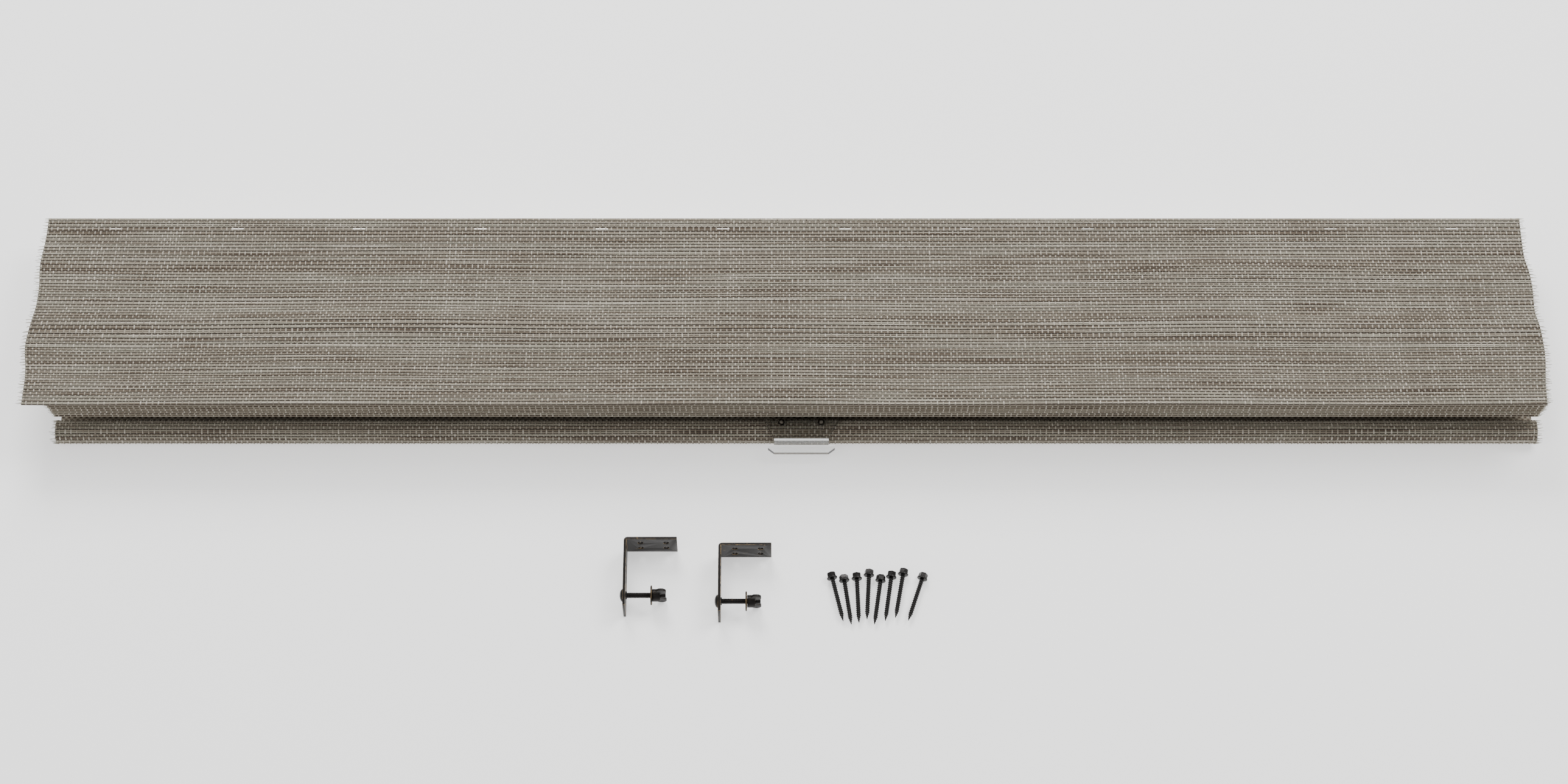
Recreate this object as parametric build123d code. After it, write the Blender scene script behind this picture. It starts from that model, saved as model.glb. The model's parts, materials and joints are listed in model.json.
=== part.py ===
from build123d import *
import math
import os

os.makedirs("parts", exist_ok=True)

# A cordless woven shade, raised, lying on its back with its front up.
# X is the width, +Y points to the headrail, +Z to the front; the origin is the middle of the headrail's back.
rail_length = 1190          # headrail
rail_depth = 38             # headrail, front to top when hung
channel_height = 34         # back of the channel to its front flange
sheet = 1.5                 # channel and cover wall
board_thickness = 6         # wooden strip that the valance is stapled to
valance_width = 1219
valance_drop = 182
valance_rise = 24           # how much higher the valance lies at its lower edge
cloth = 2.0                 # woven cloth, packed
shade_width = 1203
shade_shift = 10            # the stack hangs this much to the right
fold_count = 7
fold_travel = 206           # cloth between two rows of rings
ring_pitch = 8              # rows of rings when raised
first_row = -28
cord_places = (-400, 0, 400)
cord_radius = 0.6
cord_level = 7.4            # height of the straight cords
shaft_y = -5
shaft_z = 17
roll_y = -161               # centre of the cloth-wrapped bottom rail
roll_radius = 10
kit_x = (-127, -52)         # outer corner of each bracket, lying on its edge
kit_y = (-260, -265)
strip_width = 25.4
strip_thickness = 2
arm_length = 42
leg_length = 58
bolt_radius = 2.4
bolt_place = 45            # from the bracket's corner along its leg
nut_place = 23             # the nut hangs near the end of its bolt
bolt_length = 34
front = channel_height + board_thickness
row_place = [first_row - ring_pitch * k for k in range(fold_count)]


def save(name, *solids):
    export_step(solids[0] if len(solids) == 1 else Compound(children=list(solids)), "parts/" + name + ".step")


def block(x0, x1, y0, y1, z0, z1):
    return Pos((x0 + x1) / 2, (y0 + y1) / 2, (z0 + z1) / 2) * Box(x1 - x0, y1 - y0, z1 - z0)


def rod(radius, x0, x1, y, z):
    return Pos((x0 + x1) / 2, y, z) * Rot(0, 90, 0) * Cylinder(radius, x1 - x0)


def rod_y(radius, x, y0, y1, z):
    return Pos(x, (y0 + y1) / 2, z) * Rot(90, 0, 0) * Cylinder(radius, y1 - y0)


def rod_z(radius, x, y, z0, z1):
    return Pos(x, y, (z0 + z1) / 2) * Cylinder(radius, z1 - z0)


def extruded(face, x0, x1):
    # a profile drawn as (y, z) runs from x0 to x1
    placed = Plane(origin=(x0, 0, 0), x_dir=(0, 1, 0), z_dir=(1, 0, 0)) * face
    return extrude(placed, x1 - x0, dir=(1, 0, 0))


def headrail():
    half = rail_length / 2
    depth = rail_depth / 2
    channel = block(-half, half, -depth, depth, 0, channel_height)
    channel -= block(-half, half, -depth, depth - sheet, sheet, channel_height - sheet)
    for x in (-500, 500):   # slots for the bracket bolts, through the top web
        slot = Plane.XZ.offset(-depth - 1) * (Pos(x, shaft_z) * SlotOverall(30, 5.4))
        channel -= extrude(slot, 2 * sheet + 2, both=True)
    save("headrail_channel", channel)
    cover = block(-half + 14, half - 14, -depth, -depth + sheet, sheet, channel_height - sheet)
    for x in cord_places:
        cover -= rod_y(2.2, x, -depth - 1, -depth + sheet + 1, cord_level)
    save("channel_cover", cover)
    caps = []
    for side in (-1, 1):
        cap = block(half, half + 2.5, -depth, depth, 0, front)
        cap += block(half - 12, half, -depth + 0.2, depth - sheet, sheet, channel_height - sheet)
        cap -= block(half - 13, half - 2, -depth + 2, depth - sheet - 2, sheet + 2, channel_height - sheet - 2)
        caps.append(cap if side > 0 else cap.mirror(Plane.YZ))
    save("end_cap_left", caps[0])
    save("end_cap_right", caps[1])
    board = block(-half, half, -depth, depth, channel_height, front)
    staples = []
    for step in range(12):
        x = -half + 45 + step * (rail_length - 90) / 11
        staple = block(x - 5, x + 5, 8, 8.7, front + cloth + 0.6, front + cloth + 1.2)
        for leg in (-4.65, 4.65):
            staple += block(x + leg - 0.35, x + leg + 0.35, 8, 8.7, front - 4, front + cloth + 0.9)
            board -= block(x + leg - 0.35, x + leg + 0.35, 8, 8.7, front - 4, front)
        staples.append(staple)
    save("valance_board", board)
    save("staples", *staples)
    top = front + 0.05
    rise = valance_rise
    low = rail_depth / 2 - valance_drop
    profile = Polyline((depth, top), (-depth + 1, top), (low, top + rise), (low, top + rise + cloth),
                       (-depth, top + cloth + 0.6), (depth, top + cloth), close=True)
    flap = extruded(make_face(profile), -valance_width / 2, valance_width / 2)
    for staple in staples:
        flap -= staple
    save("valance_cloth", flap)


def lift_gear():
    shaft_end = rail_length / 2 - 60
    hexagon = Plane(origin=(-shaft_end, shaft_y, shaft_z), x_dir=(0, 1, 0), z_dir=(1, 0, 0)) * RegularPolygon(3, 6)
    save("lift_shaft", extrude(hexagon, 2 * shaft_end, dir=(1, 0, 0)))
    hexagon_hole = Plane(origin=(-700, shaft_y, shaft_z), x_dir=(0, 1, 0), z_dir=(1, 0, 0)) * RegularPolygon(3, 6)
    bore = extrude(hexagon_hole, 1400, dir=(1, 0, 0))
    spools, windings, cradles = [], [], []
    for x in cord_places:
        spool = rod(9, x - 22, x + 22, shaft_y, shaft_z) + rod(4.5, x - 28, x + 28, shaft_y, shaft_z)
        for side in (-1, 1):
            spool += rod(11, *sorted((x + side * 18, x + side * 22)), shaft_y, shaft_z)
        spools.append(spool - bore)
        winding = rod(10.2, x - 17.9, x + 17.9, shaft_y, shaft_z) - rod(9, x - 18, x + 18, shaft_y, shaft_z)
        windings.append(winding)
        cradle = block(x - 28, x + 28, -16, 12, sheet, 4)
        for side in (-1, 1):
            cradle += block(*sorted((x + side * 23, x + side * 27)), -16, 12, sheet, 26)
        cradles.append(cradle - rod(4.56, x - 30, x + 30, shaft_y, shaft_z))
    save("cord_spools", *spools)
    save("cord_windings", *windings)
    save("spool_cradles", *cradles)
    # the spring motor sits between the middle and the right spool
    x0, x1 = 150, 230
    housing = block(x0, x1, -16.5, 17, sheet, 31) - block(x0 + 2, x1 - 2, -14.5, 20, sheet + 2, 29)
    housing -= rod(3.7, x0 - 1, x1 + 1, shaft_y, shaft_z)
    storage_y = 11
    housing -= rod(3.05, x0 - 1, x1 + 1, storage_y, shaft_z)
    housing -= block(x0 + 2, x1 - 2, -20, 20, 29, 40)
    save("motor_housing", housing)
    save("motor_cover", block(x0 + 2.1, x1 - 2.1, -14.4, 16.9, 29.2, 31))
    output = rod(6.5, x0 + 10, x1 - 10, shaft_y, shaft_z) + rod(8.5, x0 + 8, x0 + 10, shaft_y, shaft_z)
    output += rod(8.5, x1 - 10, x1 - 8, shaft_y, shaft_z)
    save("output_drum", output - bore)
    storage = rod(3, x0 + 0.2, x1 - 0.2, storage_y, shaft_z)
    save("storage_drum", storage)
    ribbon = rod(5.4, x0 + 12, x1 - 12, storage_y, shaft_z) - rod(3, x0 + 11, x1 - 11, storage_y, shaft_z)
    save("spring_ribbon", ribbon)
    brake = block(300, 330, -15, 5, sheet, 28) - rod(3.7, 299, 331, shaft_y, shaft_z)
    save("friction_brake", brake)
    cords = [rod_y(cord_radius, x, row_place[-1] - 2, -11, cord_level) for x in cord_places]
    save("lift_cords", *cords)


def fold_profile(k):
    # a wedge that leans from its ring row at the back to its own place in the stack at the lower edge
    y0, z0 = row_place[k] - 1, 12.6
    y1, z1 = -135, 57 - 5.3 * k
    y2 = -158 + 0.9 * k
    thin, thick = 0.7, 2.3
    path = Polyline((y0, z0 + thin), (y1, z1 + thick), (y2, z1 + thick))
    path += ThreePointArc((y2, z1 + thick), (y2 - thick, z1), (y2, z1 - thick))
    path += Polyline((y2, z1 - thick), (y1, z1 - thick), (y0, z0 - thin), (y0, z0 + thin))
    return make_face(path)


def folds():
    left, right = shade_shift - shade_width / 2, shade_shift + shade_width / 2
    for k in range(fold_count):
        save(f"fold_{k + 1}", extruded(fold_profile(k), left, right))
        rings = []
        for x in cord_places:
            ring = Pos(x, row_place[k], cord_level) * Rot(90, 0, 0) * Torus(3.5, 0.7)
            rings.append(ring)
        save(f"rings_{k + 1}", *rings)


def bottom_rail():
    left, right = shade_shift - shade_width / 2, shade_shift + shade_width / 2
    z = roll_radius
    screws, holes = [], []
    for x in (-2, 30):
        screws.append(rod_z(1.5, x, -158, 10, 21) + Pos(x, -158, 21.6) * Cone(1.5, 2.8, 1.2))
        holes.append(rod_z(1.5, x, -158, 10, 30))
    hem = rod(roll_radius, left, right, roll_y, z) - rod(8.4, left - 1, right + 1, roll_y, z)
    tube = rod(8.2, left + 8, right - 8, roll_y, z) - rod(6.8, left, right, roll_y, z)
    for hole in holes:
        hem -= hole
        tube -= hole
    save("hem_cloth", hem)
    save("bottom_rail", tube)
    save("weight_bar", rod(3, left + 40, right - 40, roll_y, 6.3))
    for name, x0, x1 in (("rail_cap_left", left + 6, left + 22), ("rail_cap_right", right - 22, right - 6)):
        outer = x0 if "left" in name else x1 - 2
        save(name, rod(6.7, x0, x1, roll_y, z) + rod(8.2, outer, outer + 2, roll_y, z))
    back = Polyline((row_place[-1] - 3, 4.2), (-95, 2.6), (-152.5, 1.8), (-152.5, 0.2), (-95, 0.6),
                    (row_place[-1] - 3, 2.4), close=True)
    save("skirt_cloth", extruded(make_face(back), left, right))
    anchors = [rod_y(2.4, x, row_place[-1] - 8, row_place[-1] - 2.1, cord_level) for x in cord_places]
    save("cord_anchors", *anchors)
    # clear finger pull: a tapered plate on the roll and a lip in front of it
    middle = 14
    plate = make_face(Polyline((middle - 34, -148), (middle + 34, -148), (middle + 22, -172),
                               (middle - 22, -172), close=True))
    pull = Pos(0, 0, 20.3) * extrude(plate, 2)
    pull += block(middle - 22, middle + 22, -174.5, -171.8, 12, 22.3)
    lip = make_face(Polyline((middle - 27, -174.4), (middle + 27, -174.4), (middle + 27, -177),
                             (middle + 22, -181), (middle - 22, -181), (middle - 27, -177), close=True))
    pull += Pos(0, 0, 10) * extrude(lip, 4)
    for x in (-2, 30):
        pull -= rod_z(1.5, x, -158, 10, 30) + Pos(x, -158, 21.6) * Cone(1.5, 2.8, 1.2)
    save("pull_handle", pull)
    save("handle_screws", *screws)


def kit(number, x, y):
    # a bracket stands on its edge: the arm runs right along X, the leg towards -Y at its left end
    t, w = strip_thickness, strip_width
    arm = block(x, x + arm_length, y - t, y, 0, w)
    leg = block(x, x + t, y - leg_length, y, 0, w)
    strip = arm + leg
    corner = [e for e in strip.edges().filter_by(Axis.Z) if abs(e.center().X - x) < 0.1 and abs(e.center().Y - y) < 0.1]
    strip = fillet(corner, 3)
    for dx in (13, 33.4):
        for z in (w / 2 - 5, w / 2 + 5):
            strip -= rod_y(2.2, x + dx, y - t - 1, y + 1, z)
    slot = Plane.YZ.offset(x - 1) * (Pos(y - 36, w / 2) * SlotOverall(36, 5.4))
    strip -= extrude(slot, t + 2)
    save(f"bracket_{number}", strip)
    by, bz = y - bolt_place, w / 2
    bolt = rod(bolt_radius, x - 0.2, x + bolt_length, by, bz)
    dome = Pos(x - 0.3, by, bz) * Rot(0, -90, 0) * Sphere(6, arc_size1=0)
    dome = dome & block(x - 2.8, x - 0.3, by - 6, by + 6, bz - 6, bz + 6)
    bolt += rod(5.2, x - 1.4, x - 0.3, by, bz) + dome
    bolt += block(x - 0.3, x + t + 0.3, by - 2.4, by + 2.4, bz - 2.4, bz + 2.4)
    save(f"carriage_bolt_{number}", bolt)
    n = x + nut_place
    save(f"washer_{number}", rod(7.8, n - 1.4, n - 0.2, by, bz) - rod(2.7, x, x + 40, by, bz))
    nut = rod(5, n, n + 6.2, by, bz)
    for side in (-1, 1):
        ear = Pos(n + 7, by, bz + side * 8.2) * Rot(90, 0, 0) * Cylinder(4.1, 1.8)
        web = block(n + 1.2, n + 7, by - 0.9, by + 0.9, *sorted((bz + side * 3.5, bz + side * 7)))
        nut += ear + web
    save(f"wing_nut_{number}", nut - rod(bolt_radius + 0.05, x, x + 40, by, bz))


def mounting_screws():
    # eight hex washer head screws, fanned on the floor with their heads away
    screws = []
    places = (42.5, 50.5, 58.5, 66.5, 74, 82.6, 91.4, 104)
    leans = (-13, -8, -2, 3, 8, 8, 10, 18)
    offsets = (1, -1.5, 0, 3, -1.5, 1.5, 4, 1)
    for x, lean, offset in zip(places, leans, offsets):
        head = Pos(0, 0, 19) * Cylinder(4.2, 1.2)
        head += Pos(0, 0, 19.5) * extrude(RegularPolygon(3.67, 6), 4)
        shank = Pos(0, 0, 0) * Cylinder(2.1, 38) + Pos(0, 0, -22) * Cone(0.3, 2.1, 6)
        screw = Rot(-90, 0, 0) * (head + shank)
        screws.append(Pos(x, -306 + offset, 4.3) * Rot(0, 0, -lean) * screw)
    save("mounting_screws", *screws)


headrail()
lift_gear()
folds()
bottom_rail()
for number in (0, 1):
    kit(number + 1, kit_x[number], kit_y[number])
mounting_screws()
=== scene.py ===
import bmesh
import bpy
import json
import math
import random
import numpy as np
from mathutils import Matrix, Vector


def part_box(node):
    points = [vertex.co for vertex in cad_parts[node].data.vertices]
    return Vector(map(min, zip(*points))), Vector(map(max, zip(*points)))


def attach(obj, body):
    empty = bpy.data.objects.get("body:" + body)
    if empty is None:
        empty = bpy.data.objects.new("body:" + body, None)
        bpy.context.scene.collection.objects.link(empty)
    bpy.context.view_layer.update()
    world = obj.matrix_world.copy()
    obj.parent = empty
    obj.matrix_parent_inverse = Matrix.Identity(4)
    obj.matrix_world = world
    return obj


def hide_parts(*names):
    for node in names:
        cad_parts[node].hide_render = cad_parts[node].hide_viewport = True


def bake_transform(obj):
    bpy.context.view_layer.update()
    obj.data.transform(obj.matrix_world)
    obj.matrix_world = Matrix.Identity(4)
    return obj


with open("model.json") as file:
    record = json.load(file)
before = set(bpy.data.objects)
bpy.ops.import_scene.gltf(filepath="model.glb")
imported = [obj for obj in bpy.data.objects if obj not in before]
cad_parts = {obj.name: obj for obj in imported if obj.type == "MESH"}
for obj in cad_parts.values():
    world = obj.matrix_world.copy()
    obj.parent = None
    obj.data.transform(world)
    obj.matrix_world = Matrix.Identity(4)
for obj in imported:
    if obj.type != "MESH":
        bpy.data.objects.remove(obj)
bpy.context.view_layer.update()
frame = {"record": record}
rng = random.Random(7)
mm = 0.001

weave = {"warpPitch": 2.4 * mm, "weftPitch": 3.1 * mm, "warpWidth": 1.6 * mm, "height": 0.75 * mm,
         "strandsPerWeft": 2, "fringe": 4.5 * mm, "segment": 4.8 * mm}
shade = {"left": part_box("fold_1")[0][0], "right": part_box("fold_1")[1][0], "folds": 7, "leanEnd": -135 * mm,
         "layer": 1.5 * mm, "lip": 14 * mm, "belowTop": 2.3 * mm, "firstStart": 37 * mm,
         "nextStart": 13.3 * mm, "returnEnd": 12.4 * mm}
camera = {"place": (0, -1.2963, 2.4116), "elevation": 64.0, "lens": 75.3}


# shader building

class Wire:     # a number on a wire, so that maths reads as maths
    def __init__(self, kit, socket):
        self.kit, self.socket = kit, socket

    def join(self, operation, other, swap=False):
        first, second = (other, self) if swap else (self, other)
        return self.kit.node("ShaderNodeMath", {"operation": operation}, {0: first, 1: second})

    def __add__(self, other):
        return self.join("ADD", other)

    def __radd__(self, other):
        return self.join("ADD", other, True)

    def __mul__(self, other):
        return self.join("MULTIPLY", other)

    def __rmul__(self, other):
        return self.join("MULTIPLY", other, True)


class Finish:
    def __init__(self, name, settings):
        self.material = bpy.data.materials.new(name)
        self.material.use_nodes = True
        self.nodes = self.material.node_tree.nodes
        self.links = self.material.node_tree.links
        self.shader = self.nodes["Principled BSDF"]
        for key, value in settings.items():
            self.shader.inputs[key].default_value = value

    def put(self, socket, value):
        if isinstance(value, Wire):
            self.links.new(value.socket, socket)
        else:
            socket.default_value = value

    def node(self, kind, settings, inputs, output=0):
        made = self.nodes.new(kind)
        for key, value in settings.items():
            if key == "stops":
                ramp = made.color_ramp.elements
                while len(ramp) < len(value):
                    ramp.new(0.5)
                for stop, (at, colour) in zip(ramp, value):
                    stop.position = at
                    stop.color = (*colour, 1)
            else:
                setattr(made, key, value)
        for key, value in inputs.items():
            self.put(made.inputs[key], value)
        return Wire(self, made.outputs[output])

    def place(self):
        return self.node("ShaderNodeTexCoord", {}, {}, "Object")

    def noise(self, scale, detail=3.0, stretch=(1, 1, 1)):
        spread = self.node("ShaderNodeMapping", {}, {"Vector": self.place(), "Scale": stretch})
        return self.node("ShaderNodeTexNoise", {}, {"Vector": spread, "Scale": scale, "Detail": detail},
                         "Fac")

    def ramp(self, factor, stops):
        return self.node("ShaderNodeValToRGB", {"stops": stops}, {"Fac": factor}, "Color")

    def mix(self, factor, one, two, blend="MIX"):
        made = self.nodes.new("ShaderNodeMix")
        made.data_type = "RGBA"
        made.blend_type = blend
        for index, value in ((0, factor), (6, one), (7, two)):
            if isinstance(value, tuple) and len(value) == 3:
                value = (*value, 1)
            self.put(made.inputs[index], value)
        return Wire(self, made.outputs[2])

    def bump(self, height, strength, distance):
        self.put(self.shader.inputs["Normal"], self.node(
            "ShaderNodeBump", {}, {"Height": height, "Strength": strength, "Distance": distance}, "Normal"))

    def colour(self, value):
        self.put(self.shader.inputs["Base Color"], value)

    def rough(self, value):
        self.put(self.shader.inputs["Roughness"], value)


def yarnFinish(name, stops, paintedShadeColour):
    made = Finish(name, {"Sheen Weight": 0.15, "Sheen Roughness": 0.6, "Specular IOR Level": 0.25})
    tint = made.node("ShaderNodeAttribute", {"attribute_name": "tint"}, {}, "Fac")
    depth = made.node("ShaderNodeAttribute", {"attribute_name": "depth"}, {}, "Fac")
    base = made.ramp(tint, stops)
    fibre = made.noise(900, 4, (1, 3, 1))
    worn = made.mix(0.35 * fibre, base, made.mix(1.0, base, (0.55, 0.5, 0.45), "MULTIPLY"))
    # painted shade: where the depth attribute is low, on a yarn's underside and at its base, the colour
    # darkens to the shade colour
    made.colour(made.mix(depth, (*paintedShadeColour, 1), worn))
    made.rough(0.78 + 0.15 * fibre)
    made.bump(fibre, 0.5, 0.0002)
    return made.material


def clothFinish():
    made = Finish("clothGround", {"Specular IOR Level": 0.2, "Sheen Weight": 0.1})
    uv = made.node("ShaderNodeUVMap", {}, {}, "UV")
    split = made.nodes.new("ShaderNodeSeparateXYZ")
    made.put(split.inputs[0], uv)
    across, along = Wire(made, split.outputs[0]), Wire(made, split.outputs[1])

    def wave(value, pitch, shift=0.0):
        return made.node("ShaderNodeMath", {"operation": "SINE"}, {0: value * (math.pi / pitch) + shift})
    crossing = wave(across, weave["warpPitch"]) * wave(along, weave["weftPitch"])
    relief = 0.5 + 0.5 * crossing
    streak = made.noise(9, 3, (0.6, 40, 40))
    tone = made.ramp(streak, [(0.3, (0.33, 0.285, 0.222)), (0.5, (0.42, 0.376, 0.302)),
                              (0.7, (0.52, 0.475, 0.395))])
    # painted shade: the cloth is darkened in the hollows between weave crossings
    made.colour(made.mix(relief, made.mix(1.0, tone, (0.22, 0.18, 0.15), "MULTIPLY"), tone))
    made.rough(0.85 + 0.1 * streak)
    made.bump(relief, 0.8, 0.0008)
    return made.material


def plainFinish(name, base, rough, grain=400, depth=0.00005, metallic=0.0, change=0.12, stretch=(1, 1, 1),
                extra=None):
    made = Finish(name, {"Metallic": metallic, **(extra or {})})
    speck = made.noise(grain, 3, stretch)
    dull = tuple(c * (1 - change) for c in base)
    made.colour(made.mix(speck, (*dull, 1), (*base, 1)))
    made.rough(rough - 0.06 + 0.12 * speck)
    made.bump(speck, 0.3, depth)
    return made.material


def wornBlack():
    made = Finish("wornBlack", {"Metallic": 0.75})
    broad, fine = made.noise(260, 5), made.noise(1400, 2)
    worn = made.ramp(broad + 0.25 * fine, [(0.80, (0, 0, 0)), (0.95, (1, 1, 1))])
    made.colour(made.mix(worn, (0.016, 0.014, 0.013, 1), (0.20, 0.135, 0.065, 1)))
    made.rough(0.34 + 0.2 * fine)
    made.bump(fine, 0.25, 0.0001)
    return made.material


def bronzeEdge():       # the black is rubbed through to bronze where edges stand proud
    made = Finish("bronzeEdge", {"Metallic": 0.9})
    rub = made.noise(380, 4)
    made.colour(made.ramp(rub, [(0.40, (0.03, 0.024, 0.018)), (0.58, (0.34, 0.235, 0.115))]))
    made.rough(0.3 + 0.2 * rub)
    made.bump(rub, 0.3, 0.0001)
    return made.material


def clearPlastic():
    made = Finish("clearPlastic", {"Transmission Weight": 1.0, "IOR": 1.47})
    smear = made.noise(60, 2)
    made.colour(made.mix(smear, (0.93, 0.945, 0.945, 1), (0.98, 0.985, 0.985, 1)))
    made.rough(0.01 + 0.05 * smear)
    return made.material


def woodFinish():
    made = Finish("sawnPine", {"Specular IOR Level": 0.3})
    grain = made.noise(30, 6, (0.15, 6, 6))
    made.colour(made.ramp(grain, [(0.3, (0.48, 0.31, 0.16)), (0.7, (0.72, 0.53, 0.32))]))
    made.rough(0.6 + 0.2 * grain)
    made.bump(grain, 0.4, 0.0002)
    return made.material


print("materials")
warpTones = [(0.0, (0.30, 0.262, 0.205)), (0.5, (0.475, 0.43, 0.35)), (1.0, (0.66, 0.615, 0.525))]
weftTones = [(0.0, (0.12, 0.088, 0.06)), (0.3, (0.25, 0.208, 0.155)), (0.55, (0.39, 0.345, 0.272)),
             (0.8, (0.41, 0.39, 0.305)), (1.0, (0.60, 0.555, 0.46))]
warpMat = yarnFinish("warpYarn", warpTones, (0.05, 0.038, 0.028))
weftMat = yarnFinish("weftYarn", weftTones, (0.045, 0.034, 0.025))
groundMat = clothFinish()
# painted shade: a near-black sheet laid under the yarns stands for the shade in the gaps of the weave
weaveShadowMat = plainFinish("weaveShadow", (0.075, 0.055, 0.04), 0.9, 600)
whitePlastic = plainFinish("whitePlastic", (0.80, 0.79, 0.75), 0.42, 250)
whiteSteel = plainFinish("whiteSteel", (0.82, 0.82, 0.79), 0.35, 150)
brightSteel = plainFinish("brightSteel", (0.60, 0.60, 0.58), 0.3, 900, metallic=1.0, stretch=(0.1, 6, 6))
millAluminium = plainFinish("millAluminium", (0.74, 0.75, 0.76), 0.36, 700, metallic=1.0,
                            stretch=(0.05, 8, 8))
cordMat = plainFinish("braidedCord", (0.74, 0.71, 0.63), 0.8, 2500, 0.0003)
ringMat = plainFinish("ringPlastic", (0.72, 0.70, 0.64), 0.25, 500)
blackScrew = plainFinish("blackOxide", (0.035, 0.033, 0.032), 0.34, 1200, 0.0001, 0.8, 0.5)
finishes = {"white_plastic": whitePlastic, "rail_steel": whiteSteel, "bright_steel": brightSteel,
            "rail_aluminium": millAluminium, "cord_fibre": cordMat, "ring_plastic": ringMat,
            "softwood": woodFinish(), "clear_plastic": clearPlastic(), "antique_black": wornBlack(),
            "black_screw": blackScrew, "woven_cloth": groundMat}
for part in frame["record"]["subparts"]:
    target = bpy.data.objects.get(part["node"])
    if target is not None:
        target.data.materials.clear()
        target.data.materials.append(finishes[part["material_slot"]])


# cloth surfaces: each takes x and a length s down the cloth, and a height off it

class Surface:
    def __init__(self, line, sway=None, edges=None):
        self.line = np.array(line, float)       # (y, z) points in metres, in order down the cloth
        steps = np.linalg.norm(np.diff(self.line, axis=0), axis=1)
        self.along = np.concatenate(([0], np.cumsum(steps)))
        self.length = self.along[-1]
        slope = np.gradient(self.line, axis=0)
        slope /= np.linalg.norm(slope, axis=1)[:, None]
        self.normal = np.stack([slope[:, 1], -slope[:, 0]], 1)
        self.sway, self.edges = sway, edges

    def at(self, x, s, h):
        x, s, h = np.broadcast_arrays(np.asarray(x, float), np.asarray(s, float), np.asarray(h, float))
        y = np.interp(s, self.along, self.line[:, 0])
        z = np.interp(s, self.along, self.line[:, 1])
        ny = np.interp(s, self.along, self.normal[:, 0])
        nz = np.interp(s, self.along, self.normal[:, 1])
        if self.edges is not None:
            x = x + self.edges(x, s)
        lift = h if self.sway is None else h + self.sway(x, s)
        return np.stack([x, y + ny * lift, z + nz * lift], -1)


def smoothLine(points, count=60, passes=3):
    points = np.array(points, float)
    steps = np.concatenate(([0], np.cumsum(np.linalg.norm(np.diff(points, axis=0), axis=1))))
    places = np.linspace(0, steps[-1], count)
    line = np.stack([np.interp(places, steps, points[:, i]) for i in (0, 1)], 1)
    for _ in range(passes):
        line[1:-1] = (line[:-2] + 2 * line[1:-1] + line[2:]) / 4
    return line


def meshPiece(name, verts, faces, material, values=None, uvs=None, smooth=True):
    mesh = bpy.data.meshes.new(name)
    mesh.from_pydata([tuple(v) for v in verts], [], [tuple(int(i) for i in f) for f in faces])
    for key, data in (values or {}).items():
        mesh.attributes.new(key, "FLOAT", "POINT").data.foreach_set("value", np.asarray(data, np.float32))
    if uvs is not None:
        layer = mesh.uv_layers.new(name="UVMap")
        index = np.zeros(len(mesh.loops), int)
        mesh.loops.foreach_get("vertex_index", index)
        layer.data.foreach_set("uv", np.asarray(uvs, np.float32)[index].ravel())
    mesh.materials.append(material)
    mesh.polygons.foreach_set("use_smooth", [smooth] * len(mesh.polygons))
    piece = bpy.data.objects.new(name, mesh)
    bpy.context.collection.objects.link(piece)
    return piece


def groundSheet(name, surface, left, right, material, columns=160, rows=46, drop=0.0, thick=0.5 * mm):
    xs = np.linspace(left, right, columns + 1)
    ss = np.linspace(0, surface.length, rows + 1)
    grid = np.stack(np.meshgrid(xs, ss), -1).reshape(-1, 2)
    upper = surface.at(grid[:, 0], grid[:, 1], drop)
    lower = surface.at(grid[:, 0], grid[:, 1], drop - thick)
    count, wide = len(grid), columns + 1
    faces = []
    for r in range(rows):
        for c in range(columns):
            a = r * wide + c
            faces.append((a, a + wide, a + wide + 1, a + 1))
            faces.append((count + a, count + a + 1, count + a + wide + 1, count + a + wide))
    rim = [c for c in range(wide)] + [r * wide + columns for r in range(1, rows + 1)]
    rim += [rows * wide + c for c in range(columns - 1, -1, -1)] + [r * wide for r in range(rows - 1, 0, -1)]
    for a, b in zip(rim, rim[1:] + rim[:1]):
        faces.append((a, b, count + b, count + a))
    return meshPiece(name, np.vstack([upper, lower]), faces, material, uvs=np.vstack([grid, grid]))


def rowPlan(surface, seed, start=0.0, end=None):
    # weft rows of uneven thickness down the cloth: place, half thickness, tint
    dice = random.Random(seed)
    tintChoices = (0.35, 0.42, 0.5, 0.5, 0.55, 0.6, 0.65, 0.7, 0.75)
    rows, s = [], start
    end = surface.length if end is None else end
    while s < end - weave["weftPitch"] * 0.5:
        pitch = weave["weftPitch"] * dice.choice((0.72, 0.85, 0.95, 1.0, 1.05, 1.25))
        rows.append((s + pitch / 2, pitch / 2, dice.choice(tintChoices)))
        s += pitch
    scale = (end - start) / (s - start)
    return [(start + (p - start) * scale, w * scale, tint) for p, w, tint in rows]


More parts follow.
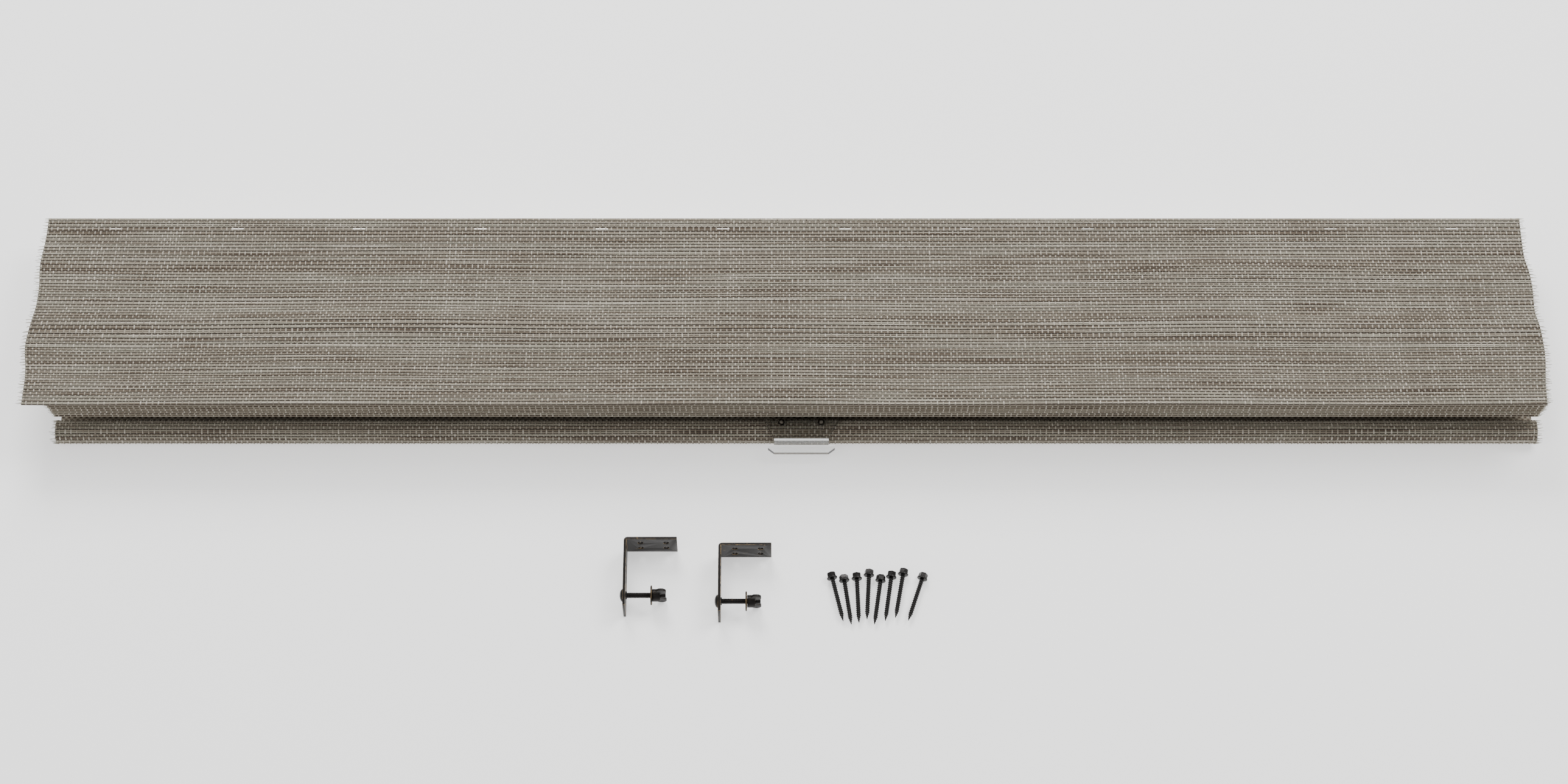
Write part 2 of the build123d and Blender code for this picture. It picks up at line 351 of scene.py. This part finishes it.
def weftYarns(name, surface, left, right, rows, seed):
    dice = random.Random(seed)
    verts, faces, tints, paintedLight = [], [], [], []
    xs = np.arange(left, right, weave["segment"])
    xs = np.append(xs, right)
    for s, half, tint in rows:
        count = weave["strandsPerWeft"]
        for strand in range(count):
            centre = s + (strand - (count - 1) / 2) * half * 1.5 / count
            thick = half * 0.76 / count
            wander = np.cumsum([dice.gauss(0, 0.05) for _ in xs])
            wander = (wander - np.linspace(wander[0], wander[-1], len(xs))) * 0.25 * mm
            tone = np.clip(tint + np.interp(xs, xs[::9], [dice.gauss(0, 0.24) for _ in xs[::9]]), 0, 1)
            base = sum(len(v) for v in verts)
            ring = [(-1.0, -0.25), (-0.55, 0.55), (0.55, 0.55), (1.0, -0.25)]
            for across, high in ring:
                verts.append(surface.at(xs, np.clip(centre + wander + across * thick, 0, surface.length),
                                        high * 0.4 * mm))
                tints.append(tone)
                # painted shade: the strand's lower sides get a low depth value so they are drawn darker, and
                # its top a high one
                paintedLight.append(np.full(len(xs), 0.85 if high > 0 else 0.3))
            n = len(xs)
            for lane in range(3):
                for i in range(n - 1):
                    a = base + lane * n + i
                    faces.append((a, a + n, a + n + 1, a + 1))
            for i in range(n - 1):      # the underside closes the strand
                a, b = base + 3 * n + i, base + i
                faces.append((a, b, b + 1, a + 1))
            faces.append((base, base + n, base + 2 * n, base + 3 * n)[::-1])
            faces.append((base + n - 1, base + 2 * n - 1, base + 3 * n - 1, base + 4 * n - 1))
    return meshPiece(name, np.vstack(verts), faces, weftMat,
                     {"tint": np.concatenate(tints), "depth": np.concatenate(paintedLight)})


def warpBumps(name, surface, left, right, rows, seed):
    # where a warp yarn passes over a weft row it shows as a small oblong bump
    dice = np.random.default_rng(seed)
    warps = np.arange(left + weave["warpPitch"] / 2, right, weave["warpPitch"])
    shift = dice.normal(0, 0.12 * mm, len(warps))
    tone = np.clip(0.5 + dice.normal(0, 0.2, len(warps)), 0, 1)
    outline = [(-0.35, -1.0), (0.35, -1.0), (0.5, -0.55), (0.5, 0.55), (0.35, 1.0), (-0.35, 1.0),
               (-0.5, 0.55), (-0.5, -0.55)]
    crown = [(-0.12, -0.5), (0.14, -0.5), (0.14, 0.5), (-0.12, 0.5)]
    bumpFaces = [(0, 1, 9, 8), (1, 2, 9), (2, 3, 10, 9), (3, 4, 10), (4, 5, 11, 10), (5, 6, 11),
                 (6, 7, 8, 11), (7, 0, 8), (8, 9, 10, 11), (7, 6, 5, 4, 3, 2, 1, 0)]
    verts, faces, tints, paintedLight = [], [], [], []
    base = 0
    for index, (s, half, _) in enumerate(rows):
        over = np.arange(index % 2, len(warps), 2)
        x = warps[over] + shift[over] + dice.normal(0, 0.08 * mm, len(over))
        length = half * (1.12 + dice.normal(0, 0.08, len(over)))
        wide = weave["warpWidth"] * (1 + dice.normal(0, 0.1, len(over)))
        lean = dice.normal(0, 0.12, len(over))
        block = []
        for k, (u, v) in enumerate(outline + crown):
            high = -0.1 * mm if k < 8 else weave["height"]
            px = x + u * wide + lean * v * 0.5 * mm
            ps = np.clip(s + v * length, 0, surface.length)
            block.append(surface.at(px, ps, high))
        block = np.stack(block, 1)
        verts.append(block.reshape(-1, 3))
        tints.append(np.repeat(np.clip(tone[over] + dice.normal(0, 0.24, len(over)), 0, 1), 12))
        # painted shade: each bump's base gets a low depth value and its crown full light
        paintedLight.append(np.tile([0.25] * 8 + [1.0] * 4, len(over)))
        for i in range(len(over)):
            faces += [tuple(base + i * 12 + j for j in f) for f in bumpFaces]
        base += len(over) * 12
    return meshPiece(name, np.vstack(verts), faces, warpMat,
                     {"tint": np.concatenate(tints), "depth": np.concatenate(paintedLight)})


def fringe(name, surface, left, right, rows, seed, most=1.0):
    # cut weft ends, a few millimetres past each side edge
    dice = random.Random(seed)
    verts, faces, tints = [], [], []
    for side, edge in ((-1, left), (1, right)):
        for s, half, tint in rows:
            for _ in range(2):
                reach = weave["fringe"] * dice.uniform(0.5, 1.1) * most
                bend, drop = dice.gauss(0, 0.8 * mm), dice.uniform(0, 0.8) * mm
                start = s + dice.uniform(-0.6, 0.6) * half
                base = len(verts)
                for step in range(4):
                    t = step / 3
                    # the strand tapers as it runs past the edge
                    x = edge + side * (reach * t - 1.5 * mm * (1 - t))
                    for turn in range(3):
                        angle = turn * 2 * math.pi / 3
                        r = 0.34 * mm * (1 - 0.6 * t)
                        at = min(max(start + bend * t * t + r * math.cos(angle), 0), surface.length)
                        verts.append(surface.at(x, at, 0.3 * mm - drop * t * t + r * math.sin(angle)))
                        tints.append(min(max(0.75 + dice.gauss(0, 0.1), 0), 1))
                for step in range(3):
                    for turn in range(3):
                        a, b = base + step * 3 + turn, base + step * 3 + (turn + 1) % 3
                        faces.append((a, b, b + 3, a + 3) if side > 0 else (a, a + 3, b + 3, b))
                faces.append((base + 2, base + 1, base) if side > 0 else (base, base + 1, base + 2))
                tip = (base + 9, base + 10, base + 11)
                faces.append(tip if side > 0 else tip[::-1])
    return meshPiece(name, verts, faces, weftMat, {"tint": tints, "depth": [1.0] * len(verts)})


def hill(value, centre, width):
    return np.exp(-((value - centre) / width) ** 2)


print("valance")
low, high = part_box("valance_cloth")
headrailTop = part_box("valance_board")[1][2]


def valanceSway(x, s):
    left = 5.0 * mm * hill(s, 0.103, 0.013) * hill(x, -0.32, 0.42)
    upper = 3.6 * mm * hill(s, 0.052, 0.011) * hill(x, 0.42, 0.3)
    lower = 4.2 * mm * hill(s, 0.108, 0.012) * hill(x, 0.5, 0.33)
    right = upper + lower
    ripple = 0.7 * mm * np.sin(x * 19 + s * 14) * np.clip(s / 0.06, 0, 1)
    return left + right + ripple


def valanceEdges(x, s):
    share = np.clip((np.abs(x) - 0.45) / 0.16, 0, 1) ** 2
    left = -2.5 * mm * hill(s, 0.043, 0.018) - 4.2 * mm * hill(s, 0.125, 0.02)
    right = 3.2 * mm * hill(s, 0.068, 0.022) + 5.0 * mm * hill(s, 0.13, 0.03)
    return share * np.where(x < 0, left, right)


valanceLine = smoothLine([(high[1] - 0.3 * mm, headrailTop + 2.5 * mm), (-0.019, headrailTop + 3.0 * mm),
                          (low[1] + 0.4 * mm, high[2] - 1.2 * mm)])
valance = Surface(valanceLine, valanceSway, valanceEdges)
valanceRows = rowPlan(valance, 3)
inset = 3.0 * mm
x0, x1 = low[0] + inset, high[0] - inset
# painted shade: a dark sheet just under the yarns stands for the shade in the weave's gaps
valanceGround = groundSheet("valanceGround", valance, x0, x1, weaveShadowMat, 200, 60, -0.35 * mm)
valanceWeft = weftYarns("valanceWeft", valance, x0, x1, valanceRows, 11)
valanceWarp = warpBumps("valanceWarp", valance, x0, x1, valanceRows, 12)
valanceFringe = fringe("valanceFringe", valance, x0, x1, valanceRows, 13)
valancePieces = [valanceWeft, valanceWarp, valanceFringe]
for piece in [valanceGround] + valancePieces:
    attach(piece, "headrail")
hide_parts("valance_cloth")

print("folds")
bodyNames = ["headrail"] + [f"row_{k}" for k in range(1, 7)] + ["bottom_rail"]
gap = shade["layer"]
for k in range(1, shade["folds"] + 1):
    lowest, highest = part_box(f"fold_{k}")
    middle = highest[2] - shade["belowTop"]
    tip = lowest[1] + 0.3 * mm
    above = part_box("headrail_channel")[0][1] - 0.6 * mm if k == 1 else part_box(f"rings_{k - 1}")[0][1]
    startZ = shade["firstStart"] if k == 1 else shade["nextStart"]
    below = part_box(f"rings_{k}")[1][1]
    frontLine = smoothLine([(above, startZ), (shade["leanEnd"], middle + gap), (tip + 3 * mm, middle + gap),
                            (tip + 1 * mm, middle + 0.7 * gap), (tip, middle)], 60, 2)
    backLine = smoothLine([(tip, middle), (tip + 1 * mm, middle - 0.7 * gap), (tip + 3 * mm, middle - gap),
                           (shade["leanEnd"], middle - gap), (below, shade["returnEnd"])], 60, 2)
    a, b = shade["left"] + inset, shade["right"] - inset
    front = Surface(frontLine)
    back = Surface(backLine)
    frontSheet = groundSheet(f"fold{k}Front", front, a, b, groundMat, 120, 40)
    backSheet = groundSheet(f"fold{k}Back", back, a, b, groundMat, 120, 40)
    lipStart = front.length - shade["lip"]
    lipRows = rowPlan(front, 20 + k, lipStart, front.length)
    lipWeft = weftYarns(f"fold{k}Weft", front, a, b, lipRows, 30 + k)
    lipWarp = warpBumps(f"fold{k}Warp", front, a, b, lipRows, 40 + k)
    frontFringe = fringe(f"fold{k}Fringe", front, a, b, rowPlan(front, 50 + k), 60 + k, 0.7)
    for piece in (frontSheet, lipWeft, lipWarp, frontFringe):
        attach(piece, bodyNames[k - 1])
    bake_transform(backSheet)
    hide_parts(f"fold_{k}")

print("hem and skirt")
hemLow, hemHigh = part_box("hem_cloth")
hemY, hemZ = (hemLow[1] + hemHigh[1]) / 2, (hemLow[2] + hemHigh[2]) / 2
hemRadius = (hemHigh[2] - hemLow[2]) / 2 - 0.9 * mm
turns = [math.radians(t - 110) for t in np.linspace(0, 356, 72)]
hemLine = [(hemY + hemRadius * math.cos(t), hemZ + hemRadius * math.sin(t)) for t in turns]
hem = Surface(hemLine)
hemRows = rowPlan(hem, 71)
a, b = hemLow[0] + inset, hemHigh[0] - inset
# painted shade: a dark sheet just under the hem yarns stands for the shade in the weave's gaps
hemGround = groundSheet("hemGround", hem, a, b, weaveShadowMat, 120, 72, -0.3 * mm)
hemPieces = [weftYarns("hemWeft", hem, a, b, hemRows, 72), warpBumps("hemWarp", hem, a, b, hemRows, 73),
             fringe("hemFringe", hem, a, b, hemRows, 74)]
skirtLow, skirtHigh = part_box("skirt_cloth")
skirt = Surface(smoothLine([(skirtHigh[1] + 2 * mm, 12 * mm), (skirtHigh[1] - 4 * mm, 5 * mm),
                            (-0.1, 2.2 * mm), (skirtLow[1], 1.4 * mm)], 60, 3))
skirtSheet = groundSheet("skirtSheet", skirt, a, b, groundMat, 120, 40)
for piece in [hemGround, skirtSheet] + hemPieces:
    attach(piece, "bottom_rail")
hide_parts("hem_cloth")
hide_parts("skirt_cloth")

print("lift cords")
cordLow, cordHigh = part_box("lift_cords")
cordZ = (cordLow[2] + cordHigh[2]) / 2
cordEnds = [cordHigh[1]]
for k in range(1, shade["folds"] + 1):
    ringLow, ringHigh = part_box(f"rings_{k}")
    cordEnds.append((ringLow[1] + ringHigh[1]) / 2)


def cordLength(name, x, y0, y1, sides=8, steps=14, radius=0.6 * mm):
    verts, faces = [], []
    for i in range(steps + 1):
        y = y0 + (y1 - y0) * i / steps
        for j in range(sides):
            angle = 2 * math.pi * j / sides
            r = radius * (1 + 0.08 * math.cos(2 * angle + i * 1.6))
            verts.append((x + r * math.cos(angle), y, cordZ + r * math.sin(angle)))
    for i in range(steps):
        for j in range(sides):
            p, q = i * sides + j, i * sides + (j + 1) % sides
            faces.append((p, q, q + sides, p + sides))
    faces.append(tuple(range(sides))[::-1])
    faces.append(tuple(steps * sides + j for j in range(sides)))
    return meshPiece(name, verts, faces, cordMat)


for place, x in (("Left", -0.4), ("Middle", 0.0), ("Right", 0.4)):
    for k in range(1, 8):
        piece = cordLength(f"cord{place}{k}", x, cordEnds[k - 1], cordEnds[k])
        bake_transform(piece)
        if k == 1 and place == "Left":
            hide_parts("lift_cords")

print("brackets and screws")
edgeMat = bronzeEdge()
thread = {"bolt": {"core": 2.0 * mm, "crest": 2.38 * mm, "pitch": 1.06 * mm},
          "screw": {"core": 1.45 * mm, "crest": 2.1 * mm, "pitch": 1.75 * mm, "length": 38 * mm,
                    "tip": 6 * mm, "middle": 19 * mm}}
boltShape = {"endGap": 3 * mm, "shankStart": 2.6 * mm, "headSink": 0.3 * mm, "neckHalf": 2.4 * mm,
             "neck": (-0.4 * mm, 2.9 * mm)}
screws = {"x": (42.5, 50.5, 58.5, 66.5, 74, 82.6, 91.4, 104), "lean": (-13, -8, -2, 3, 8, 8, 10, 18),
          "y": (1, -1.5, 0, 3, -1.5, 1.5, 4, 1), "middle": (-306, 4.3)}


def wornCopy(node, body, width, base, edge):
    # a copy of the CAD piece with its edges broken, and the broken edges rubbed bright
    source = bpy.data.objects[node]
    mesh = source.data.copy()
    work = bmesh.new()
    work.from_mesh(mesh)
    bmesh.ops.remove_doubles(work, verts=work.verts, dist=1e-6)
    bmesh.ops.dissolve_limit(work, angle_limit=math.radians(3), verts=work.verts, edges=work.edges)
    work.to_mesh(mesh)
    work.free()
    mesh.materials.clear()
    mesh.materials.append(base)
    mesh.materials.append(edge)
    piece = bpy.data.objects.new(node + "Worn", mesh)
    bpy.context.collection.objects.link(piece)
    bpy.ops.object.select_all(action="DESELECT")
    piece.select_set(True)
    bpy.context.view_layer.objects.active = piece
    bevel = piece.modifiers.new("edges", "BEVEL")
    bevel.width, bevel.segments, bevel.limit_method = width, 2, "ANGLE"
    bevel.angle_limit = math.radians(40)
    bevel.material = 1
    bpy.ops.object.modifier_apply(modifier="edges")
    bpy.ops.object.shade_smooth_by_angle(angle=math.radians(35))
    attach(piece, body)
    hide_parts(node)


def threaded(length, core, crest, pitch, tip=0.0, sides=18, perTurn=6):
    # a threaded shank along +Y from 0, its crest winding round it; a tip tapers over its last stretch at 0
    rows = int(length / pitch * perTurn)
    verts, faces = [], []
    for i in range(rows + 1):
        y = length * i / rows
        for j in range(sides):
            turn = (y / pitch + j / sides) % 1.0
            ridge = max(0.0, 1 - abs(turn - 0.5) * 3.2)
            taper = min(1.0, 0.12 + 0.88 * y / tip) if tip else 1.0
            r = (core + (crest - core) * ridge) * taper
            angle = 2 * math.pi * j / sides
            verts.append((r * math.sin(angle), y, r * math.cos(angle)))
    for i in range(rows):
        for j in range(sides):
            a, b = i * sides + j, i * sides + (j + 1) % sides
            faces.append((a, b, b + sides, a + sides))
    faces.append(tuple(range(sides))[::-1])
    faces.append(tuple(rows * sides + j for j in range(sides)))
    return verts, faces


def lathe(profile, sides):
    # rings of (radius, y) round the Y axis, closed at both ends
    verts, faces = [], []
    angles = [2 * math.pi * j / sides for j in range(sides)]
    for r, y in profile:
        verts += [(r * math.sin(angle), y, r * math.cos(angle)) for angle in angles]
    for i in range(len(profile) - 1):
        for j in range(sides):
            a, b = i * sides + j, i * sides + (j + 1) % sides
            faces.append((a, b, b + sides, a + sides))
    faces.append(tuple(range(sides))[::-1])
    faces.append(tuple((len(profile) - 1) * sides + j for j in range(sides)))
    return verts, faces


def flush(name):
    # faces outwards, and only sharp edges stay sharp
    piece = bpy.data.objects[name]
    work = bmesh.new()
    work.from_mesh(piece.data)
    bmesh.ops.recalc_face_normals(work, faces=work.faces)
    work.to_mesh(piece.data)
    work.free()
    bpy.ops.object.select_all(action="DESELECT")
    piece.select_set(True)
    bpy.context.view_layer.objects.active = piece
    bpy.ops.object.shade_smooth_by_angle(angle=math.radians(40))
    return piece


shank = threaded(**{key: thread["screw"][key] for key in ("length", "core", "crest", "pitch", "tip")})
washerHead = lathe([(1.6 * mm, 37.2 * mm), (3.9 * mm, 37.3 * mm), (4.2 * mm, 37.6 * mm),
                    (4.2 * mm, 38.2 * mm), (3.8 * mm, 38.6 * mm), (1.6 * mm, 38.7 * mm)], 36)
hexHead = lathe([(3.2 * mm, 38.4 * mm), (3.67 * mm, 38.8 * mm), (3.67 * mm, 41.6 * mm), (3.2 * mm, 42.3 * mm),
                 (2.2 * mm, 42.4 * mm), (1.9 * mm, 41.9 * mm)], 6)
verts, faces = [], []
for x, lean, offset in zip(screws["x"], screws["lean"], screws["y"]):
    spin = rng.uniform(0, math.pi)
    for part in (shank, washerHead, hexHead):
        base = len(verts)
        for px, py, pz in part[0]:
            sx, sz = px * math.cos(spin) + pz * math.sin(spin), pz * math.cos(spin) - px * math.sin(spin)
            local = Vector((sx, py - thread["screw"]["middle"], sz))
            place = Matrix.Rotation(math.radians(-lean), 3, "Z") @ local
            verts.append((place.x + x * mm, place.y + (screws["middle"][0] + offset) * mm,
                          place.z + screws["middle"][1] * mm))
        faces += [tuple(base + i for i in f) for f in part[1]]
meshPiece("screwsThreaded", verts, faces, blackScrew)
screwPiece = flush("screwsThreaded")
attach(screwPiece, "screws")
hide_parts("mounting_screws")
for number in (1, 2):
    for node, body, width in (("bracket", "bracket", 0.45 * mm), ("wing_nut", "nut", 0.4 * mm),
                              ("washer", "bolt", 0.25 * mm)):
        wornCopy(f"{node}_{number}", f"{body}_{number}", width, finishes["antique_black"],
                 edgeMat)
    boltLow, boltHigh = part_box(f"carriage_bolt_{number}")
    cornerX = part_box(f"bracket_{number}")[0][0]
    by, bz = (boltLow[1] + boltHigh[1]) / 2, (boltLow[2] + boltHigh[2]) / 2
    run = threaded(boltHigh[0] - cornerX - boltShape["endGap"], **thread["bolt"])
    rod = [(cornerX + boltShape["shankStart"] + y, by + x, bz + z) for x, y, z in run[0]]
    dome = lathe([(5.2 * mm, 0), (5.1 * mm, -0.6 * mm), (4.4 * mm, -1.4 * mm), (3.0 * mm, -2.1 * mm),
                  (1.2 * mm, -2.45 * mm)], 32)
    headVerts = [(cornerX - boltShape["headSink"] + y, by + x, bz + z) for x, y, z in dome[0]]
    half = boltShape["neckHalf"]
    neck = [(cornerX + dx, by + sy * half, bz + sz * half) for dx in boltShape["neck"]
            for sy, sz in ((-1, -1), (1, -1), (1, 1), (-1, 1))]
    neckFaces = [(0, 1, 5, 4), (1, 2, 6, 5), (2, 3, 7, 6), (3, 0, 4, 7), (3, 2, 1, 0), (4, 5, 6, 7)]
    verts, faces = [], []
    for points, shapes in ((rod, run[1]), (headVerts, dome[1]), (neck, neckFaces)):
        base = len(verts)
        verts += points
        faces += [tuple(base + i for i in f) for f in shapes]
    meshPiece(f"boltThreaded{number}", verts, faces, finishes["antique_black"])
    bolt = flush(f"boltThreaded{number}")
    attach(bolt, f"bolt_{number}")
    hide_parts(f"carriage_bolt_{number}")

print("floor, light, camera")
bpy.ops.object.select_all(action="DESELECT")
bpy.ops.mesh.primitive_plane_add(size=12, location=(0, 0, 0))
floor = bpy.context.object
floor.name = "floor"
floor.data.materials.append(plainFinish("paleFloor", (0.97, 0.97, 0.965), 0.7, 40, change=0.01, extra={
    "Emission Color": (1, 1, 1, 1), "Emission Strength": 0.7}))
lamps = (((-1.6, -1.2, 2.6), 1.4, 12), ((1.7, 0.9, 2.6), 1.4, 52), ((-0.5, 1.9, 2.2), 1.2, 68))
for place, size, power in lamps:
    bpy.ops.object.light_add(type="AREA", location=place)
    lamp = bpy.context.object
    lamp.data.energy = power
    lamp.data.size = size
    lamp.rotation_euler = (Vector((0, -0.1, 0)) - Vector(place)).to_track_quat("-Z", "Y").to_euler()
world = bpy.data.worlds.new("studio")
world.use_nodes = True
world.node_tree.nodes["Background"].inputs[0].default_value = (1, 1, 1, 1)
world.node_tree.nodes["Background"].inputs[1].default_value = 0.62
bpy.context.scene.world = world
view = bpy.data.cameras.new("view")
view.lens = camera["lens"]
eye = bpy.data.objects.new("view", view)
bpy.context.collection.objects.link(eye)
eye.location = camera["place"]
eye.rotation_euler = (math.radians(90 - camera["elevation"]), 0, 0)
bpy.context.scene.camera = eye
